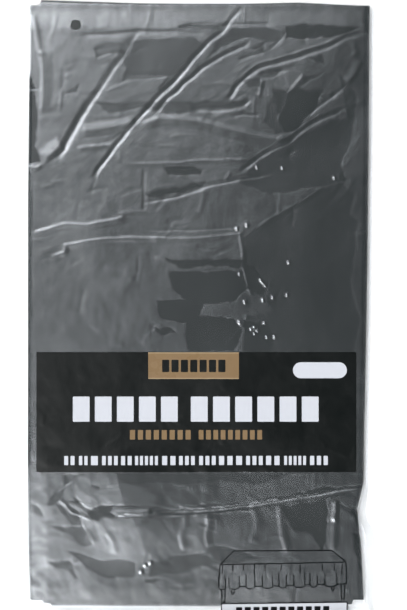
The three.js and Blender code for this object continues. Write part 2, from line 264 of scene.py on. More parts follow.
# Where the film clings to the cloth it has no air under it and mirrors less.
CLINGING = [
    # between the creases below the mouth
    [(-45, 143), (-37, 149), (-20, 150), (-1, 150), (-8, 142), (-17, 129), (-30, 127), (-44, 126.5),
     (-41, 133)],
    [(-12, 158), (16, 158), (10, 155), (-12, 156)],
    [(-59, 114), (-40, 113.5), (-12, 114), (20, 115), (30, 114), (22, 110), (6, 110.5), (-12, 107),
     (-34, 110), (-52, 108)],
    [(18, 156), (38, 156.5), (47, 154), (45, 149), (36, 147), (38, 142), (30, 144), (37, 149),
     (26, 151), (14, 146), (4, 138), (10, 147)],
    [(49, 157), (62, 158.5), (91, 156.5), (80, 152), (70, 150.5), (49, 150)],
    [(-60, 145), (-42, 146), (-45, 142), (-52, 142), (-58, 139)],
    [(-7, 152), (5, 147), (-10, 131), (-20, 119), (-24, 121), (-10, 140)],
    [(-68, 124), (-74, 121), (-77, 118), (-70, 120)],
    # right of the middle
    [(42, 121), (56, 122), (71, 120.5), (64, 108), (55, 98), (44, 96), (36, 103), (40, 112)],
    [(34, 131), (48, 133.5), (44, 129), (35, 128)],
    [(62, 139), (70, 141), (72, 136), (68, 136.5)],
    [(56, 122), (62, 129), (70, 130.5), (63, 127)],
    [(24, 127), (34, 128), (37, 122), (28, 122)],
    [(80, 130), (84, 126), (89, 119), (89, 112), (88, 98), (85, 90), (80, 78), (84, 70), (70, 66),
     (40, 62), (22, 68), (36, 82), (60, 96), (84, 106)],
    [(78, 68), (88, 62), (86, 50), (90, 46), (88, 30), (86, 12), (89, -2), (91, -10), (87, -28),
     (26, -28), (28, -8), (42, -4), (38, 2), (29, 8), (26, 26), (26, 38), (31, 42), (45, 51),
     (60, 61)],
    # above and below the double fold
    [(-49, -96), (54, -96), (44, -100), (30, -103), (12, -100), (-6, -103), (-24, -101),
     (-38, -103), (-46, -100)],
    [(-26, -115.7), (-3, -114.9), (24, -112.7), (48, -109.2), (48, -110.4), (24, -114), (-3, -116.4),
     (-26, -117.2)],
    [(-38, -119.6), (-3, -119), (27, -116.4), (55, -112.4), (88, -107.6), (88, -109.4), (55, -114),
     (27, -117.8), (-3, -120.4), (-30, -121)],
    [(-77, -97), (-64, -97), (-72, -99.6), (-77, -104)],
    [(-62, -104.4), (-57, -103.4), (-55, -104.4), (-59, -105.6)],
    [(-75, -112), (-70, -111), (-66, -113.4), (-72, -113.4)],
    [(-86, -147), (-74, -146), (-72, -149), (-70, -156), (-75, -150.6), (-82, -149.6)],
    [(-29, -156), (-22, -157), (-26, -159), (-31, -158)],
    [(78, -114), (84.7, -115.6), (91, -119), (90, -122), (84, -118.4)],
    # leaf shapes of the lower left corner
    [(-95, -114), (-91, -116), (-89, -121), (-94, -119)],
    [(-88, -114.6), (-83, -108.7), (-76, -105), (-78, -109), (-83, -114)],
    [(-82, -113.6), (-78, -119), (-72.5, -125.7), (-66, -124.4), (-70, -121.4), (-76, -116)],
    [(-77, -114), (-72.5, -118.5), (-66.5, -123), (-70, -117)],
    [(-87.5, -126), (-72.5, -131), (-67.3, -137.5), (-60.8, -137.7), (-66.6, -125.7), (-76, -127)],
    [(-74.5, -140), (-59.5, -144.6), (-54, -146.5), (-41, -145.6), (-36.6, -148), (-36.6, -155),
     (-53, -155.6), (-65, -149)],
    # the broad dark wave above the pictogram
    [(-27.5, -146), (2, -141), (7.7, -137), (18, -139.4), (24, -140.7), (33, -144.6),
     (25, -146.5), (-3.4, -149.8), (-10, -152.5), (-29.5, -154.4)],
    # the left and right edges
    [(-99, 77), (-95.2, 72), (-95.2, -28), (-95.6, -90), (-99, -96)],
    [(93, 155), (93.6, 168), (99, 170), (99, 150)],
    [(86, -131), (96, -131), (96, -162), (92, -158), (90, -146)],
]

# Where it lies so close that it hardly mirrors at all.
DARK_BAYS = [
    [(-100, 129), (-96, 127.8), (-93.4, 122), (-95, 121.4), (-100, 121.6)],
    [(-100, 120.6), (-94.4, 120), (-92.6, 115.4), (-91.7, 110), (-91.8, 101.7), (-92.6, 93.9),
     (-94.9, 89.3), (-100, 89.3)],
    [(-100, 91), (-95.6, 90.6), (-94, 89.3), (-92.7, 86.7), (-89.5, 80.8), (-90.8, 79.9),
     (-96, 79.2), (-100, 79)],
    [(49, 157), (62, 158.5), (91, 156.5), (80, 152), (70, 150.5), (49, 150)],
    [(42, 120), (56, 121), (70, 119.5), (64, 108), (55, 98), (47, 97), (44, 108)],
    [(-21.5, 25.6), (-4, 24.5), (12, 25.5), (27, 25), (26, 19.6), (8, 20.6), (-10, 19.4)],
    [(-17.5, 18.4), (4, 18), (24, 18.7), (27, 8), (20, 1), (8, -1), (-8, 2), (-16, 8)],
    [(-24, 1.8), (-10, 2), (2, 1), (0, -8), (-10, -11), (-22, -9)],
    [(-25.5, -13.6), (-16, -14), (-13.6, -17), (-22, -18)],
    [(-8, -8), (6, -7), (20, -9), (24, -16), (20, -27.6), (-6, -27.6)],
    [(25, 22), (31, 21), (38, 10), (37, 5), (32, 5), (27, 8)],
    [(25, -10), (38, -11), (42, -18), (41, -27.6), (25, -27.6)],
    [(-21, 77), (-6, 78), (2, 76), (0, 72.6), (-18, 73)],
    [(35.8, -111.7), (48.8, -109.4), (61.9, -106.8), (72.3, -104.3), (93, -103.6), (93, -104.8),
     (71.6, -107.4), (37.1, -112.9)],
    [(-63.4, -119.2), (-58.2, -115.9), (-51, -114.9), (-28, -115), (-49.5, -116), (-50.4, -118.5),
     (-48.4, -120), (-32, -121.1), (-54.3, -121.4), (-57.5, -122.3), (-62, -122.8)],
    [(46, -115), (60, -113.4), (72, -111), (73, -126), (71.6, -135), (69.7, -140.7), (64.5, -132),
     (54, -128), (50, -123)],
    [(-30, 63), (-12, 66), (4, 69.5), (2, 66), (-14, 62), (-28, 60)],
]

# Pinpoint dents that catch the light.
GLINTS = [
    (21, 42), (26.7, 44), (22.4, 16.5), (35.6, 11.6), (37, 10), (34.4, 12.8), (41.3, 3.2), (49.5, 4.5),
    (25.6, 0.6), (35.8, 1.5), (22.4, -11), (30.9, -14), (32.6, -15.6), (29, -15), (31, -17.6),
    (36.4, -11.5), (37.9, -19.3), (42.3, -19.3), (50.4, 23), (76.3, 71), (32.4, 77), (46.9, 76.4),
    (-31, -149), (-33.5, -152.5), (-28, -147.6),
]


def distance_to(points, x, y):
    """Distance to a line of points, below it as positive, and how far along it (0 to 1) that is."""
    points = np.array(points, float)
    steps = np.diff(points, axis=0)
    lengths = np.hypot(steps[:, 0], steps[:, 1])
    travelled = np.concatenate([[0], np.cumsum(lengths)])
    best = np.full(x.shape, 1e9)
    where = np.zeros(x.shape)
    side = np.ones(x.shape)
    for i, (dx, dy) in enumerate(steps):
        t = ((x - points[i, 0]) * dx + (y - points[i, 1]) * dy) / lengths[i] ** 2
        t = np.clip(t, 0, 1)
        off_x = x - points[i, 0] - t * dx
        off_y = y - points[i, 1] - t * dy
        d = np.hypot(off_x, off_y)
        nearer = d < best
        best = np.where(nearer, d, best)
        side = np.where(nearer, np.sign(off_x * AWAY[0] + off_y * AWAY[1] + 1e-9), side)
        where = np.where(nearer, (travelled[i] + t * lengths[i]) / travelled[-1], where)
    return best * side, where


def inside(polygon, x, y):
    """True inside a closed outline."""
    result = np.zeros(x.shape, bool)
    for (x0, y0), (x1, y1) in zip(polygon, polygon[1:] + polygon[:1]):
        if y0 != y1:
            crosses = (y0 > y) != (y1 > y)
            result ^= crosses & (x < (x1 - x0) * (y - y0) / (y1 - y0) + x0)
    return result


def window(points, margin):
    """The part of the face grid within a margin of some points."""
    xs, ys = zip(*points)
    columns = np.flatnonzero((FACE_X > min(xs) - margin) & (FACE_X < max(xs) + margin))
    rows = np.flatnonzero((FACE_Y > min(ys) - margin) & (FACE_Y < max(ys) + margin))
    return np.ix_(rows, columns)


FACE_X = np.arange(-104, 104 + GRID, GRID)
FACE_Y = np.arange(BAG_END - 2, MOUTH + 4, GRID)
face_x, face_y = np.meshgrid(FACE_X, FACE_Y)


def swell():
    """The slow rise and fall of the stack, which the cloth and the film share."""
    return 0.22 * ripple(face_x, face_y, 46, 3.1, 2)


def tent(away, near, far):
    """1 on the line, falling to 0 over the near flank on one side and the far one on the other."""
    t = np.clip(1 - np.where(away < 0, -away / near, away / far), 0, 1)
    return 0.7 * t + 0.3 * t * t * (3 - 2 * t)


def add_crease(relief, points, height, near, far, start=1.0):
    """Adds a crease whose height begins at a share of its full one."""
    part = window(points, 1.6 * (near + far))
    x = face_x[part] + WOBBLE_X[part]
    y = face_y[part] + WOBBLE_Y[part]
    away, where = distance_to(points, x, y)
    middle = -far / 2 if height < 0 else near / 2
    breadth = 1 + 0.22 * WOBBLE_X[part]
    length = sum(math.dist(a, b) for a, b in zip(points, points[1:]))
    taper = min(max(0.35 * (near + far) / length, 0.1), 0.4)
    fade = ease(0, taper, where) * ease(1, 1 - taper, where) * (start + (1 - start) * where)
    relief[part] += height * fade * tent((away - middle) / breadth, near, far)


def crease_relief():
    relief = np.zeros(face_x.shape)
    for crease in CREASES:
        add_crease(relief, *crease)
    return CREASE_SHARE * relief


SMALL_CREASES = 260


def small_crease_relief():
    """Short faint creases between the drawn ones, most of them level or falling to the left."""
    chance = np.random.RandomState(7)
    relief = np.zeros(face_x.shape)
    for _ in range(SMALL_CREASES):
        x, y = chance.uniform(-92, 92), chance.uniform(-168, 164)
        slope = chance.choice([4, 12, 28, 52, 80, 160]) + chance.uniform(-8, 8)
        half = chance.uniform(2.5, 9)
        dx, dy = half * math.cos(math.radians(slope)), half * math.sin(math.radians(slope))
        bend = chance.uniform(-1, 1)
        points = [(x - dx, y - dy), (x + bend, y - bend), (x + dx, y + dy)]
        height = chance.uniform(0.015, 0.05) * chance.choice([-1, 1])
        add_crease(relief, points, height, chance.uniform(1.0, 2.4), chance.uniform(1.0, 2.4))
    return relief


def cling_map():
    wobble_x = 1.3 * ripple(face_x, face_y, 6, 23.3)
    wobble_y = 1.3 * ripple(face_x, face_y, 6, 29.9)
    cling = np.zeros(face_x.shape)
    strengths = [(0.66, shape) for shape in CLINGING] + [(1.0, shape) for shape in DARK_BAYS]
    for strength, polygon in strengths:
        part = window(polygon, 4)
        x = face_x[part] + wobble_x[part]
        y = face_y[part] + wobble_y[part]
        away, _ = distance_to(polygon + polygon[:1], x, y)
        signed = np.where(inside(polygon, x, y), abs(away), -abs(away))
        cling[part] = np.maximum(cling[part], strength * ease(-0.45, 0.45, signed))
    return cling


def glint_map():
    """A small round dent at each glint."""
    dents = np.zeros(face_x.shape)
    for x, y in GLINTS:
        part = window([(x, y)], 3)
        away = np.hypot(face_x[part] - x, face_y[part] - y)
        dents[part] = np.maximum(dents[part], np.clip(1.15 - away, 0, 1))
    return dents


SWELL = swell()
WOBBLE_X = 0.4 * ripple(face_x, face_y, 8, 11.3)
WOBBLE_Y = 0.4 * ripple(face_x, face_y, 8, 17.9)
DENTS = glint_map()
CLING = cling_map() * (1 - DENTS) - 1.3 * DENTS
FINE = 0.035 * ripple(face_x, face_y, 7, 41.7, 3)
RELIEF = SWELL + crease_relief() + small_crease_relief() + 0.3 * DENTS + FINE - 0.06 * CLING


def sample(field, x, y):
    """A field of the face grid between its grid points."""
    column = np.clip((np.asarray(x, float) - FACE_X[0]) / GRID, 0, len(FACE_X) - 1.001)
    row = np.clip((np.asarray(y, float) - FACE_Y[0]) / GRID, 0, len(FACE_Y) - 1.001)
    c, r = column.astype(int), row.astype(int)
    s, t = column - c, row - r
    low = field[r, c] * (1 - s) + field[r, c + 1] * s
    high = field[r + 1, c] * (1 - s) + field[r + 1, c + 1] * s
    return low * (1 - t) + high * t


def left_round(y):
    """The film's turn at the left, wider where the cloth's free edge stands back."""
    return along(y, (79, 1.2), (74, 2.4), (-88, 2.4), (-98, 1.2))


RIGHT_ROUND = 1.2


def edge_turn(x, y):
    """How much of its height the film has reached near its sides."""
    left = np.clip((x - left_edge(y)) / left_round(y), 0, 1)
    right = np.clip((right_edge(y) - x) / RIGHT_ROUND, 0, 1)
    return (1 - (1 - np.minimum(left, right)) ** 2.6) ** (1 / 2.6)


def film_height(x, y):
    """The front film over a point of the face."""
    x, y = np.broadcast_arrays(np.asarray(x, float), np.asarray(y, float))
    inset = np.minimum(x - left_edge(y), right_edge(y) - x)
    turn = edge_turn(x, y)
    past_cloth = ease(CLOTH_END - 2, CLOTH_END - 14, y)
    strength = ease(0, 2.5, inset) * (1 - 0.75 * past_cloth)
    low = middle_height(y)
    return low + (face_height(y) - low) * turn + sample(RELIEF, x, y) * strength


# ---- Materials -----------------------------------------------------------


class Nodes:
    """A material's node tree, with a short way to add and join nodes."""

    def __init__(self, name):
        self.material = bpy.data.materials.new(name)
        self.material.use_nodes = True
        self.tree = self.material.node_tree
        self.tree.nodes.clear()

    def add(self, kind, **values):
        node = self.tree.nodes.new("ShaderNode" + kind)
        for key, value in values.items():
            if hasattr(node, key):
                setattr(node, key, value)
            else:
                node.inputs[key.replace("_", " ")].default_value = value
        return node

    def join(self, source, target, target_socket, source_socket=0):
        self.tree.links.new(source.outputs[source_socket], target.inputs[target_socket])

    def finish(self, shader):
        output = self.add("OutputMaterial")
        self.join(shader, output, "Surface")
        return self.material


def grain(nodes, scale, detail=3.0):
    """Noise in the object's own space."""
    place_node = nodes.add("TexCoord")
    texture = nodes.add("TexNoise", Scale=scale, Detail=detail)
    nodes.join(place_node, texture, "Vector", "Object")
    return texture


def ramp(nodes, source, low, high, start=0.35, end=0.65):
    """A source from 0 to 1 turned into a value from low to high."""
    node = nodes.add("MapRange")
    node.inputs["From Min"].default_value = start
    node.inputs["From Max"].default_value = end
    node.inputs["To Min"].default_value = low
    node.inputs["To Max"].default_value = high
    nodes.join(source, node, "Value")
    return node


def bump(nodes, source, strength, distance):
    node = nodes.add("Bump", Strength=strength, Distance=distance)
    nodes.join(source, node, "Height")
    return node


def film_material(name, gloss_loose, gloss_clinging, haze, roughness):
    """Clear film: mostly see-through, with a mirror layer that is weaker where it clings."""
    nodes = Nodes(name)
    clear = nodes.add("BsdfTransparent", Color=(0.968, 0.975, 0.98, 1))
    mirror = nodes.add("BsdfAnisotropic", Color=(0.9, 0.94, 1, 1), distribution="BECKMANN")
    nodes.join(ramp(nodes, grain(nodes, 60), roughness * 0.8, roughness * 1.2), mirror, "Roughness")

    cling = nodes.add("Attribute", attribute_name="cling")
    gloss = nodes.add("MapRange", clamp=False)
    gloss.inputs["To Min"].default_value = gloss_loose
    gloss.inputs["To Max"].default_value = gloss_clinging
    nodes.join(cling, gloss, "Value", "Fac")
    facing = nodes.add("LayerWeight", Blend=0.5)
    steep = nodes.add("Math", operation="POWER")
    steep.inputs[1].default_value = 4.0
    nodes.join(facing, steep, 0, "Facing")
    edge = nodes.add("Math", operation="MULTIPLY_ADD")
    edge.inputs[1].default_value = 0.75
    nodes.join(steep, edge, 0)
    nodes.join(gloss, edge, 2)
    coat = nodes.add("MixShader")
    nodes.join(edge, coat, 0)
    nodes.join(clear, coat, 1)
    nodes.join(mirror, coat, 2)

    milk = nodes.add("BsdfDiffuse", Color=(0.86, 0.88, 0.9, 1))
    veil = ramp(nodes, grain(nodes, 14), haze * 0.5, haze * 1.5)
    film = nodes.add("MixShader")
    nodes.join(veil, film, 0)
    nodes.join(coat, film, 1)
    nodes.join(milk, film, 2)
    material = nodes.finish(film)
    material.surface_render_method = "BLENDED"
    return material


def sheet_plastic(name, colour, roughness):
    """Dyed polyethylene film with a fine emboss and a soft sheen."""
    nodes = Nodes(name)
    body = nodes.add("BsdfPrincipled", Roughness=roughness)
    body.inputs["Specular IOR Level"].default_value = 0.3
    blotch = grain(nodes, 40)
    tint = nodes.add("MixRGB")
    tint.inputs[1].default_value = (*[c * 0.92 for c in colour], 1)
    tint.inputs[2].default_value = (*[c * 1.08 for c in colour], 1)
    nodes.join(blotch, tint, 0)
    nodes.join(tint, body, "Base Color")
    emboss = bump(nodes, grain(nodes, 420, 1.0), 0.03, 0.00005)
    nodes.join(emboss, body, "Normal")
    return nodes.finish(body)


def ink(name, colour, roughness, mottle=0.08, gloss=0.22):
    """Printed ink: an even colour with slight mottling and a gloss that varies a little."""
    nodes = Nodes(name)
    body = nodes.add("BsdfPrincipled")
    body.inputs["Specular IOR Level"].default_value = gloss
    tint = nodes.add("MixRGB")
    tint.inputs[1].default_value = (*[c * (1 - mottle) for c in colour], 1)
    tint.inputs[2].default_value = (*[c * (1 + mottle) for c in colour], 1)
    nodes.join(grain(nodes, 240, 4.0), tint, 0)
    nodes.join(tint, body, "Base Color")
    nodes.join(ramp(nodes, grain(nodes, 90), roughness * 0.85, roughness * 1.15), body, "Roughness")
    nodes.join(bump(nodes, grain(nodes, 1200), 0.1, 0.00004), body, "Normal")
    return nodes.finish(body)


CLEAR_FILM = film_material("clear_film", 0.092, 0.012, 0.003, 0.19)
SEALED_FILM = film_material("sealed_film", 0.16, 0.16, 0.1, 0.3)
GLUE = film_material("glue", 0.06, 0.06, 0.25, 0.4)
CLOTH = sheet_plastic("cloth_plastic", (0.0135, 0.0175, 0.0185), 0.24)
BLACK = ink("black_ink", (0.0035, 0.005, 0.005), 0.17)
GOLD = ink("gold_ink", (0.185, 0.118, 0.056), 0.3)
GOLD_RIM = ink("gold_rim_ink", (0.30, 0.22, 0.13), 0.3)
WHITE = ink("white_ink", (0.5, 0.52, 0.57), 0.35, 0.03)
LINE_INK = ink("line_ink", (0.006, 0.007, 0.008), 0.3, gloss=0.045)
CAPTION_INK = ink("caption_ink", (0.46, 0.48, 0.52), 0.35, 0.03)

# ---- Mesh helpers --------------------------------------------------------


def grid_faces(rows, columns, keep=None, start=0):
    corner = np.arange(rows * columns).reshape(rows, columns) + start
    quads = np.stack(
        [corner[:-1, :-1], corner[1:, :-1], corner[1:, 1:], corner[:-1, 1:]], axis=-1
    ).reshape(-1, 4)
    return quads if keep is None else quads[keep.reshape(-1)]


def make_object(name, points, faces, material, body, stands_for=()):
    """A smooth mesh in the frame from millimetre points, riding on a body."""
    mesh = bpy.data.meshes.new(name)
    mesh.from_pydata(place(points).tolist(), [], [list(map(int, f)) for f in faces])
    mesh.polygons.foreach_set("use_smooth", [True] * len(mesh.polygons))
    mesh.materials.append(material)
    mesh.update()
    piece = bpy.data.objects.new(name, mesh)
    bpy.context.collection.objects.link(piece)
    if body is not None:
        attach(piece, body)
    if stands_for:
        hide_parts(*stands_for)
    return piece


def set_cling(piece, values):
    attribute = piece.data.attributes.new("cling", "FLOAT", "POINT")
    attribute.data.foreach_set("value", np.asarray(values, np.float32).ravel())


def film_sheet(name, points, material, body, stands_for, cling, keep=None):
    """A grid of points as one sheet of film."""
    faces = grid_faces(*points.shape[:2], keep)
    piece = make_object(name, points.reshape(-1, 3), faces, material, body, stands_for)
    set_cling(piece, cling)
    return piece


def merge_patches(patches):
    """Several (points, faces) patches as one."""
    points, faces, start = [], [], 0
    for patch_points, patch_faces in patches:
        points.append(patch_points)
        faces += [[i + start for i in face] for face in patch_faces]
        start += len(patch_points)
    return np.concatenate(points), faces


# ---- The bag -------------------------------------------------------------


def margin_columns(y):
    return right_edge(y) + right_margin(y) * np.linspace(0, 1, MARGIN_COLUMNS + 1)[1:]


def film_columns(y):
    """The x of each column of the front film in one row, and where the margin begins."""
    left, right = left_edge(y), right_edge(y)
    turn = 1 - np.cos(np.linspace(0, math.pi / 2, 8))
    left_turn, right_turn = left_round(y) * turn, RIGHT_ROUND * turn
    regular = FACE_X[(FACE_X > -92) & (FACE_X < 86)]
    left_gap = np.linspace(left + left_turn[-1], regular[0], 6)[1:-1]
    right_gap = np.linspace(regular[-1], right - right_turn[-1], 13)[1:-1]
    margin = margin_columns(y)
    return np.concatenate(
        [left + left_turn, left_gap, regular, right_gap, right - right_turn[::-1], margin]
    )


def margin_drop(points, y, sign):
    """Brings the welded margin down from the side of the cloth."""
    outer = points[-MARGIN_COLUMNS:]
    share = np.linspace(0, 1, MARGIN_COLUMNS + 1)[1:]
    outer[:, 2] = middle_height(y) - 1.2 * share * (1 - ease(CLOTH_END, CLOTH_END - 12, y))
    outer[:, 2] += sign * 0.05 * (1 - share)


inner_rows = FACE_Y[(FACE_Y > SEAL + 0.3) & (FACE_Y < MOUTH - 0.3)]
FILM_ROWS = np.concatenate([[MOUTH], inner_rows[::-1], [SEAL]])
SEAM = -62.0  # under the label band, where the front film's two meshes meet


def bag_front():
    """The front film, as two meshes so that each stays small, and the row along the mouth."""
    rows = []
    for y in FILM_ROWS:
        x = film_columns(y)
        points = np.column_stack([x, np.full(x.shape, y), film_height(x, y)])
        margin_drop(points, y, 1)
        rows.append(points)
    points = np.array(rows)
    keep = cut_vent(points)
    split = int(np.argmax(FILM_ROWS < SEAM))
    upper_nodes = ("bag_front_panel", "bag_left_side_fold", "bag_right_side_fold")
    front_mesh("bag_film_front", points[:split + 1], keep[:split], upper_nodes)
    front_mesh("bag_film_front_lower", points[split:], keep[split:], ("bag_bottom_slope",))
    return points


def front_mesh(name, points, keep, stands_for):
    cling = sample(CLING, points[..., 0], points[..., 1])
    film_sheet(name, points, CLEAR_FILM, "bag", stands_for, cling, keep)


def cut_vent(points):
    """Moves the grid points inside the vent out to its rim, and says which faces stay."""
    offset = points[..., :2] - np.array(VENT)
    away = np.hypot(offset[..., 0], offset[..., 1])
    inner = away < VENT_RADIUS
    points[inner, :2] = np.array(VENT) + offset[inner] / away[inner][:, None] * VENT_RADIUS
    corners = [inner[:-1, :-1], inner[1:, :-1], inner[1:, 1:], inner[:-1, 1:]]
    return ~np.all(corners, axis=0)


BACK_COLUMNS = 60


def bag_back():
    share = (1 - np.cos(np.linspace(0, math.pi, BACK_COLUMNS))) / 2
    rows = []
    for y in FILM_ROWS[::2]:
        left, right = left_edge(y), right_edge(y)
        x = left + (right - left) * share
        middle = middle_height(y)
        z = middle - (middle - BACK) * edge_turn(x, y)
        x = np.append(x, margin_columns(y))
        points = np.column_stack([x, np.full(x.shape, y), np.append(z, [0] * MARGIN_COLUMNS)])
        margin_drop(points, y, -1)
        rows.append(points)
    points = np.array(rows)
    ruffle = 0.12 * ripple(points[..., 0], points[..., 1], 16, 51.3)
    points[..., 2] += ruffle * ease(3, 9, points[..., 0] + 97) * ease(-94, -86, -points[..., 0])
    cling = ease(-0.1, 0.25, ripple(points[..., 0], points[..., 1], 30, 57.1))
    nodes = ("bag_back_panel", "bag_bottom_margin")
    film_sheet("bag_film_back", points, CLEAR_FILM, "bag", nodes, cling)


def bottom_seal():
    rows = np.linspace(SEAL, BAG_END, 15)
    x = np.linspace(left_edge(SEAL), right_edge(SEAL) + right_margin(SEAL), 120)
    grid_x, grid_y = np.meshgrid(x, rows)
    crimp = 0.13 * np.where(np.arange(len(rows)) % 2, 1, -1)[:, None]
    crimp = crimp * (0.6 + 0.4 * np.sin(grid_x * 2.4))
    grid_z = 0.75 + crimp + 0.15 * ripple(grid_x, grid_y, 22, 61.7)
    points = np.stack([grid_x, grid_y, grid_z], axis=-1)
    cling = np.zeros(grid_x.shape)
    film_sheet("bag_bottom_weld", points, SEALED_FILM, "bag", ("bag_bottom_seal",), cling)


def mouth_reach(x):
    """How far the turned film stands past the hinge line, along the mouth."""
    return along(
        x,
        (-100, 1.2), (-91.2, 1.4), (-90.2, 4.3), (-60, 3.3), (-35, 2.5), (-10, 2.2), (25, 2.2),
        (57, 2.9), (80, 1.6), (90, 1.2), (99, 1.1),
    )


FLAP_SIDES = (-92.5, 94.1)
MOUTH_STEPS = 33


def flap_columns(x):
    """The columns of the mouth brought in to the narrower flap."""
    share = (x - x[0]) / (x[-1] - x[0])
    return FLAP_SIDES[0] + (FLAP_SIDES[1] - FLAP_SIDES[0]) * share


def mouth_film(top_row):
    """The film that turns over the mouth from the front to the flap on the back."""
    top_row = top_row[:-MARGIN_COLUMNS]
    x, z_front = top_row[:, 0], top_row[:, 2]
    rows = []
    for angle in np.linspace(0, math.pi, MOUTH_STEPS):
        round_cos = math.copysign(abs(math.cos(angle)) ** 0.4, math.cos(angle))
        share = (1 - round_cos) / 2
        across = x * (1 - share) + flap_columns(x) * share
        height = z_front * (1 - share) + FLAP_Z * share
        out = MOUTH + mouth_reach(across) * math.sin(angle) ** 0.4
        rows.append(np.column_stack([across, out, height]))
    points = np.array(rows)
    cling = np.zeros(points.shape[:2])
    piece = film_sheet(
        "bag_mouth_film", points, CLEAR_FILM, None, ("bag_mouth_fold",), cling
    )
    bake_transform(piece)
    return points[-1]


def flap_film(first_row):
    x = first_row[:, 0]
    rows = []
    for y in np.linspace(MOUTH, FLAP_END, 40):
        z = FLAP_Z + 0.06 * ripple(x, y, 12, 71.9) * ease(MOUTH, MOUTH - 6, y)
        rows.append(np.column_stack([x, np.full(x.shape, y), z]))
    points = np.array(rows)
    cling = ease(0, 0.4, ripple(points[..., 0], points[..., 1], 18, 73.3))
    film_sheet("closing_flap_film", points, CLEAR_FILM, "flap", ("closing_flap",), cling)


def adhesive_strip():
    x, y = np.meshgrid(np.linspace(-86, 88, 90), np.linspace(148, 136.5, 8))
    z = np.full(x.shape, 0.3) + 0.02 * ripple(x, y, 3, 79.1)
    points = np.stack([x, y, z], axis=-1)
    cling = np.zeros(x.shape)
    film_sheet("adhesive_band", points, GLUE, "flap", ("adhesive_strip",), cling)


# ---- The folded cloth ----------------------------------------------------


# Where the cloth's folded ends step back near the corners of the pack.
CORNER_STEPS = (-91.2, -90.2, -90.0, -89.4, -85.6, -84.9, 88.8, 89.2, 90.2, 90.6)


def roll_line():
    """The flat roll's centre line: (x, z, panel) from its inner end to its free edge."""
    first = CLOTH_LOW + (PANELS / 2 - 1) * PANEL_PITCH + 0.14
    outer = ((PANELS - 1) * PANEL_PITCH + 0.28) / 2
    turn_right = CLOTH_RIGHT - outer
    turn_left = CLOTH_LEFT + outer - PANEL_PITCH / 2

    def height(k):
        return first + (1 if k % 2 else -1) * math.ceil(k / 2) * PANEL_PITCH

    line = []
    for k in range(PANELS):
        to_right = k % 2 == 0
        start, end = (turn_left, turn_right) if to_right else (turn_right, turn_left)
        count = 180 if k == PANELS - 1 else 20
        end_x = turn_left - 0.5 if k == PANELS - 1 else end
        low, high = sorted((start, end_x))
        steps = [x for x in CORNER_STEPS if low < x < high]
        columns = np.unique(np.concatenate([np.linspace(low, high, count), steps]))
        for x in columns if to_right else columns[::-1]:
            line.append((x, height(k), k))
        if k < PANELS - 1:
            side = 1 if to_right else -1
            centre = (height(k) + height(k + 1)) / 2
            radius = abs(height(k + 1) - height(k)) / 2
            for turn in np.linspace(0, math.pi, 8)[1:-1]:
                x = end + side * radius * math.sin(turn)
                z = centre - side * radius * math.cos(turn)
                line.append((x, z, k + turn / math.pi))
    return np.array(line)


def ply_line():
    """The quarter folds: (y share from 0 to 1, level, y bulge) across the sheet's width."""
    order = [(3, 1, 0), (0, 0, 1), (1, 1, 0), (2, 0, 1)]
    line = []
    for i, (level, start, end) in enumerate(order):
        count = 120 if level == 3 else 14
        for share in np.linspace(start, end, count):
            line.append((share, level, 0.0))
        if i < len(order) - 1:
            next_level = order[i + 1][0]
            gap = abs(next_level - level)
            for turn in np.linspace(0, math.pi, 6)[1:-1]:
                mid = (level + next_level) / 2 + (level - next_level) / 2 * math.cos(turn)
                bulge = 0.5 * gap * PLY_PITCH * 3 * math.sin(turn)
                line.append((end, mid, bulge if end == 1 else -bulge))
    return np.array(line)


def end_rise(x):
    """How far the cloth's bottom fold stands back from its lowest line."""
    return along(
        x, (-99, 2.4), (-90.0, 2.2), (-89.4, 0.6), (-85.6, 0.5), (-84.9, -1.1), (12, -1.3),
        (89.2, -0.1), (90.2, 2.4), (98, 2.4),
    )


INSET_LEFT = 0.7  # of the cloth from the film's edge
INSET_RIGHT = 1.6
NOTCH_REACH = 2.0  # how far along the right edge the cloth heeds a notch


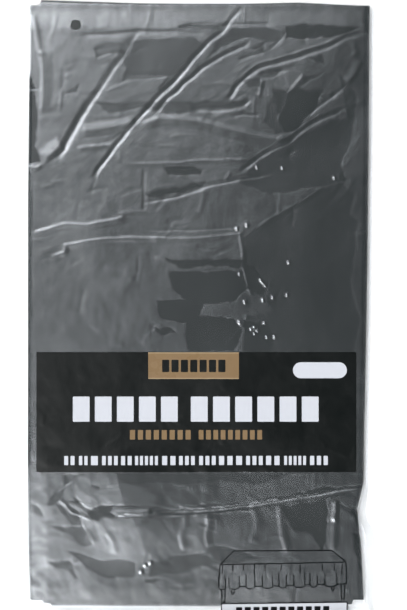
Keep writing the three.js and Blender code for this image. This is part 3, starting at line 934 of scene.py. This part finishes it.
def folded_cloth():
    roll = roll_line()
    plies = ply_line()
    x, z = roll[:, 0], roll[:, 1]
    dx, dz = np.gradient(x), np.gradient(z)
    length = np.hypot(dx, dz)
    normal_x, normal_z = -dz / length, dx / length
    panel = roll[:, 2]
    offset = -(plies[:, 1] - (PLIES - 1) / 2) * PLY_PITCH
    grid_x = x[:, None] + normal_x[:, None] * offset[None, :]
    grid_z = z[:, None] + normal_z[:, None] * offset[None, :]
    slip_top = along(panel, *[(k, 1.3 * math.sin(2.3 * k + 0.4)) for k in range(PANELS)])
    slip_end = along(panel, *[(k, 1.2 * math.sin(1.7 * k + 1.9)) for k in range(PANELS)])
    share = (grid_x - CLOTH_LEFT) / (CLOTH_RIGHT - CLOTH_LEFT)
    face = CLOTH_RIGHT * share + CLOTH_LEFT * (1 - share)
    top = MOUTH + mouth_reach(face) - 0.15 - 0.3 * np.abs(slip_top)[:, None]
    end = CLOTH_END + end_rise(face) + 0.1 + 0.3 * np.abs(slip_end)[:, None]
    grid_y = end + (top - end) * plies[:, 0][None, :] + 0.3 * plies[:, 2][None, :]
    left = left_edge(grid_y) + INSET_LEFT
    # the narrowest place nearby, so that the cloth stays inside the notch in the right edge
    near_by = [right_edge(grid_y + step) for step in (-NOTCH_REACH, 0, NOTCH_REACH)]
    right = np.minimum.reduce(near_by) - INSET_RIGHT
    grid_x = left + (right - left) * share
    lift = sample(SWELL, grid_x, grid_y)
    grid_z = grid_z + lift * np.clip(grid_z / 6.5, 0, 1) * 0.9
    end_droop = ease(CLOTH_END + 9, CLOTH_END, grid_y) + 1.0 * ease(CLOTH_TOP - 9, CLOTH_TOP, grid_y)
    grid_z = grid_z - 0.75 * end_droop * grid_z / 6.7
    points = np.stack([grid_x, grid_y, grid_z], axis=-1)
    piece = make_object(
        "tablecloth_sheet", points.reshape(-1, 3), grid_faces(*grid_x.shape),
        CLOTH, "tablecloth", ("folded_tablecloth",),
    )


# ---- The printing --------------------------------------------------------

LIFT = 0.05  # of each printed layer over what it lies on
LEAN = 0.014  # of the caption, which rises to the right


def rows_patch(left, right, bottom, top, lift, corner=0.0, step=GRID, lean=0.0):
    """A patch of print on the film, with round corners if corner isn't 0."""
    y = np.linspace(bottom, top, max(2, math.ceil((top - bottom) / step) + 1))
    if corner:
        turn = corner * (1 - np.cos(np.linspace(0, math.pi / 2, 6)))
        y = np.unique(np.concatenate([bottom + turn, top - turn, y]))
    near = np.clip(np.minimum(y - bottom, top - y), 0, corner)
    inset = corner - np.sqrt(np.clip(corner**2 - (corner - near) ** 2, 0, None))
    across = np.linspace(0, 1, max(2, math.ceil((right - left) / step) + 1))
    grid_x = (left + inset)[:, None] + (right - left - 2 * inset)[:, None] * across[None, :]
    grid_y = np.repeat(y[:, None], len(across), axis=1) + lean * (grid_x - left)
    grid_z = film_height(grid_x, grid_y) + lift
    points = np.stack([grid_x, grid_y, grid_z], axis=-1).reshape(-1, 3)
    faces = [list(reversed(list(map(int, f)))) for f in grid_faces(*grid_x.shape)]
    return points, faces


def print_piece(name, patches, material, stands_for=()):
    points, faces = merge_patches(patches)
    return make_object(name, points, faces, material, "bag", stands_for)


def stroke(points, width, lift):
    """A drawn line on the film, as a ribbon of even width."""
    dense = []
    for (x0, y0), (x1, y1) in zip(points, points[1:]):
        count = max(1, math.ceil(math.hypot(x1 - x0, y1 - y0) / 0.4))
        dense += [(x0 + (x1 - x0) * i / count, y0 + (y1 - y0) * i / count) for i in range(count)]
    dense = np.array(dense + [points[-1]], float)
    direction = np.gradient(dense, axis=0)
    direction /= np.maximum(np.hypot(direction[:, 0], direction[:, 1])[:, None], 1e-9)
    side = np.column_stack([-direction[:, 1], direction[:, 0]]) * width / 2
    grid = np.stack([dense - side, dense, dense + side], axis=1)
    height = film_height(grid[..., 0], grid[..., 1]) + lift
    patch = np.concatenate([grid, height[..., None]], axis=-1)
    return patch.reshape(-1, 3), grid_faces(*grid.shape[:2])


def blocks(left, right, count, bottom, top, lift, gap=0.24, corner=0.5, lean=0.0):
    """A row of plain blocks in place of a word."""
    pitch = (right - left + gap * (right - left) / count) / count
    width = pitch * (1 - gap)
    patches = []
    for i in range(count):
        rise = lean * i * pitch
        start = left + i * pitch
        patches.append(
            rows_patch(start, start + width, bottom + rise, top + rise, lift, corner, lean=lean)
        )
    return patches


def label():
    print_piece(
        "label_band_print", [rows_patch(-92.9, 88.8, -96.0, -27.8, LIFT)],
        BLACK, ("label_band",),
    )
    print_piece(
        "label_accent_print", [rows_patch(-29.4, 22.1, -42.5, -28.6, 2 * LIFT)],
        GOLD, ("label_accent_block",),
    )
    print_piece(
        "label_accent_rims",
        [rows_patch(-29.4, 22.1, y, y + 0.6, 2 * LIFT) for y in (-28.6, -43.1)],
        GOLD_RIM,
    )
    print_piece(
        "label_accent_blocks", blocks(-21.5, 14.5, 7, -39.2, -32.2, 3 * LIFT), BLACK
    )
    print_piece(
        "label_badge_print", [rows_patch(52.8, 83.4, -42.7, -33.6, 2 * LIFT, 4.5)],
        WHITE, ("label_blank_badge",),
    )
    title = (-67.4, -53.1, 2 * LIFT)
    print_piece(
        "label_title_print_1", blocks(-72.2, -12.5, 5, *title),
        WHITE, ("label_title_block_1",),
    )
    print_piece(
        "label_title_print_2", blocks(-5.2, 67.5, 6, *title),
        WHITE, ("label_title_block_2",),
    )
    subtitle = (-77.5, -72.1, 2 * LIFT, 0.35, 0.3)
    print_piece(
        "label_subtitle_print_1", blocks(-39.8, -5.2, 8, *subtitle),
        GOLD, ("label_subtitle_block_1",),
    )
    print_piece(
        "label_subtitle_print_2", blocks(-0.7, 35.3, 9, *subtitle),
        GOLD, ("label_subtitle_block_2",),
    )
    words = [
        (-77.1, -71.0, 2), (-68.7, -63.6, 2), (-61.9, -57.3, 1), (-55.6, -46.5, 3),
        (-44.8, -38.5, 2), (-36.9, -23.8, 5), (-21.5, -13.6, 2), (-11.9, -2.8, 3),
        (-0.5, 9.1, 3), (10.8, 18.8, 2), (20.5, 24.5, 1), (26.2, 35.8, 3),
        (37.5, 45.5, 2), (47.8, 60.3, 5), (62.5, 72.8, 3),
    ]
    patches = []
    for left, right, count in words:
        patches += blocks(left, right, count, -92.0, -86.8, 2 * LIFT, 0.38, 0.3)
    print_piece("label_size_print", patches, WHITE, ("label_size_line",))


def hem_line(x):
    return -161.5 + 2.0 * (x - 10.7) / 72.7


def pictogram():
    """A table with a draped cloth, in plain line."""
    width = 0.6
    folds = [
        (12.6, 3.9), (19.5, 5.9), (28.7, 4.9), (38.4, 5.9), (47.0, 4.2), (56.5, 6.2), (64.6, 4.2),
        (74.4, 6.8),
    ]
    pleats = (12.9, 18.7, 24.8, 31.0, 37.0, 46.2, 57.0, 69.6, 76.5, 80.8)
    hem_x = np.linspace(10.7, 83.4, 240)
    hem_y = hem_line(hem_x)
    for middle, breadth in folds:
        lobe = np.clip(1 - ((hem_x - middle) / (breadth / 2)) ** 2, 0, 1)
        hem_y = hem_y - 1.4 * np.sqrt(lobe)
    lines = [
        [(11.6, -148.6), (19.1, -140.8), (74.9, -140.5), (82.0, -146.2), (81.2, -147.2), (11.6, -148.6)],
        [(11.4, -148.6), (10.7, hem_line(10.7))],
        [(82.0, -146.2), (83.0, -148.0), (83.4, hem_line(83.4))],
        list(zip(hem_x, hem_y)),
    ]
    for left, right, top, foot in (
        (12.3, 14.3, -162.9, -170.0), (80.2, 82.1, -160.2, -168.2), (17.9, 19.4, -163.2, -165.4),
        (74.8, 76.2, -161.4, -163.4),
    ):
        lines.append([(left, top), (left + 0.2, foot), (right - 0.2, foot), (right, top)])
    for i, x in enumerate(pleats):
        lines.append([(x, -148.4), (x - 0.2, -152.2 - 1.6 * (i % 3 == 0))])
    for i, (middle, breadth) in enumerate(folds):
        for side, tall in ((-1, 6.8 - (i % 2)), (1, 5.2 + (i % 3))):
            x = middle + side * breadth / 2
            lines.append([(x, hem_line(x)), (x - 0.1, hem_line(x) + tall)])
    print_piece(
        "pictogram_lines", [stroke(line, width, 2 * LIFT) for line in lines],
        LINE_INK, ("pictogram_table",),
    )
    print_piece(
        "pictogram_caption", [rows_patch(12.4, 83.4, -183.9, -171.1, LIFT, lean=LEAN)],
        CAPTION_INK, ("pictogram_caption_panel",),
    )
    frame_line = [(12.2, -184.1), (12.2, -170.9), (83.6, -169.9), (83.6, -183.1), (12.2, -184.1)]
    print_piece(
        "pictogram_caption_frame", [stroke(frame_line, width, 2 * LIFT)], LINE_INK
    )
    print_piece(
        "pictogram_caption_blocks", blocks(20.5, 73.5, 11, -176.7, -172.8, 2 * LIFT, 0.3, 0.3, LEAN),
        LINE_INK,
    )


# ---- Floor, light and camera ---------------------------------------------


def floor():
    size = 3.0
    mesh = bpy.data.meshes.new("floor")
    corners = [(-size, -size, 0), (size, -size, 0), (size, size, 0), (-size, size, 0)]
    mesh.from_pydata(corners, [], [(0, 1, 2, 3)])
    nodes = Nodes("floor")
    body = nodes.add("BsdfPrincipled", Roughness=0.7)
    tint = nodes.add("MixRGB")
    tint.inputs[1].default_value = (0.85, 0.85, 0.85, 1)
    tint.inputs[2].default_value = (0.89, 0.89, 0.89, 1)
    nodes.join(grain(nodes, 3), tint, 0)
    nodes.join(tint, body, "Base Color")
    body.inputs["Specular IOR Level"].default_value = 0.1
    body.inputs["Emission Color"].default_value = (1, 1, 1, 1)
    body.inputs["Emission Strength"].default_value = 0.15
    mesh.materials.append(nodes.finish(body))
    plane = bpy.data.objects.new("floor", mesh)
    plane.location.z = min(cad_box[0][2], 0.0) - 0.0002
    bpy.context.collection.objects.link(plane)


# The studio is dark but for soft lights: (direction, spread, brightness).
SOFT_LIGHTS = [
    ((-0.25, 0.30, 0.92), 0.14, 12.0),
    ((-0.25, -0.36, 0.90), 0.145, 18.0),
]
HORIZON = 0.4


def studio():
    world = bpy.data.worlds.new("studio")
    bpy.context.scene.world = world
    world.use_nodes = True
    tree = world.node_tree
    tree.nodes.clear()

    def add(kind, **values):
        node = tree.nodes.new("ShaderNode" + kind)
        for key, value in values.items():
            setattr(node, key, value)
        return node

    direction = add("TexCoord").outputs["Generated"]
    total = None
    for centre, spread, brightness in SOFT_LIGHTS:
        away = add("VectorMath", operation="DISTANCE")
        tree.links.new(direction, away.inputs[0])
        away.inputs[1].default_value = centre
        squared = add("Math", operation="POWER")
        tree.links.new(away.outputs["Value"], squared.inputs[0])
        squared.inputs[1].default_value = 2.0
        scaled = add("Math", operation="MULTIPLY")
        tree.links.new(squared.outputs[0], scaled.inputs[0])
        scaled.inputs[1].default_value = -1 / (2 * spread**2)
        glow = add("Math", operation="EXPONENT")
        tree.links.new(scaled.outputs[0], glow.inputs[0])
        light = add("Math", operation="MULTIPLY_ADD")
        tree.links.new(glow.outputs[0], light.inputs[0])
        light.inputs[1].default_value = brightness
        if total is not None:
            tree.links.new(total, light.inputs[2])
        else:
            light.inputs[2].default_value = 0.03
        total = light.outputs[0]

    split = add("SeparateXYZ")
    tree.links.new(direction, split.inputs[0])
    low = add("MapRange", interpolation_type="SMOOTHSTEP")
    tree.links.new(split.outputs["Z"], low.inputs["Value"])
    low.inputs["From Min"].default_value = 0.3
    low.inputs["From Max"].default_value = 0.93
    low.inputs["To Min"].default_value = HORIZON
    low.inputs["To Max"].default_value = 0.0
    ring = add("Math", operation="ADD")
    tree.links.new(total, ring.inputs[0])
    tree.links.new(low.outputs[0], ring.inputs[1])
    background = add("Background")
    background.inputs["Color"].default_value = (1.0, 1.0, 1.0, 1)
    tree.links.new(ring.outputs[0], background.inputs["Strength"])
    output = add("OutputWorld")
    tree.links.new(background.outputs[0], output.inputs["Surface"])


def key_light():
    """A smaller, brighter light up to the left, which the creases catch."""
    data = bpy.data.lights.new("key", "AREA")
    data.shape = "RECTANGLE"
    data.size = 0.22
    data.size_y = 0.36
    data.energy = 7.0
    lamp = bpy.data.objects.new("key", data)
    lamp.location = (-0.85, 0.55, 1.35)
    aim = Vector((0, 0, 0)) - lamp.location
    lamp.rotation_euler = aim.to_track_quat("-Z", "Y").to_euler()
    bpy.context.collection.objects.link(lamp)


def camera():
    distance = 1.15
    seen_height = 0.3465  # of the pack's face, in metres
    data = bpy.data.cameras.new("camera")
    data.sensor_fit = "VERTICAL"
    data.angle = 2 * math.atan(seen_height / 2 / distance)
    view = bpy.data.objects.new("camera", data)
    centre = place((2.0, -1.1, FACE))
    view.location = (centre[0], centre[1], centre[2] + distance)
    bpy.context.collection.objects.link(view)
    bpy.context.scene.camera = view


# ---- Build ---------------------------------------------------------------

camera()
studio()
key_light()
floor()
bpy.context.scene.view_settings.view_transform = "Standard"

front_points = bag_front()
bag_back()
bottom_seal()
flap_row = mouth_film(front_points[0])
flap_film(flap_row)
adhesive_strip()
folded_cloth()
label()
pictogram()
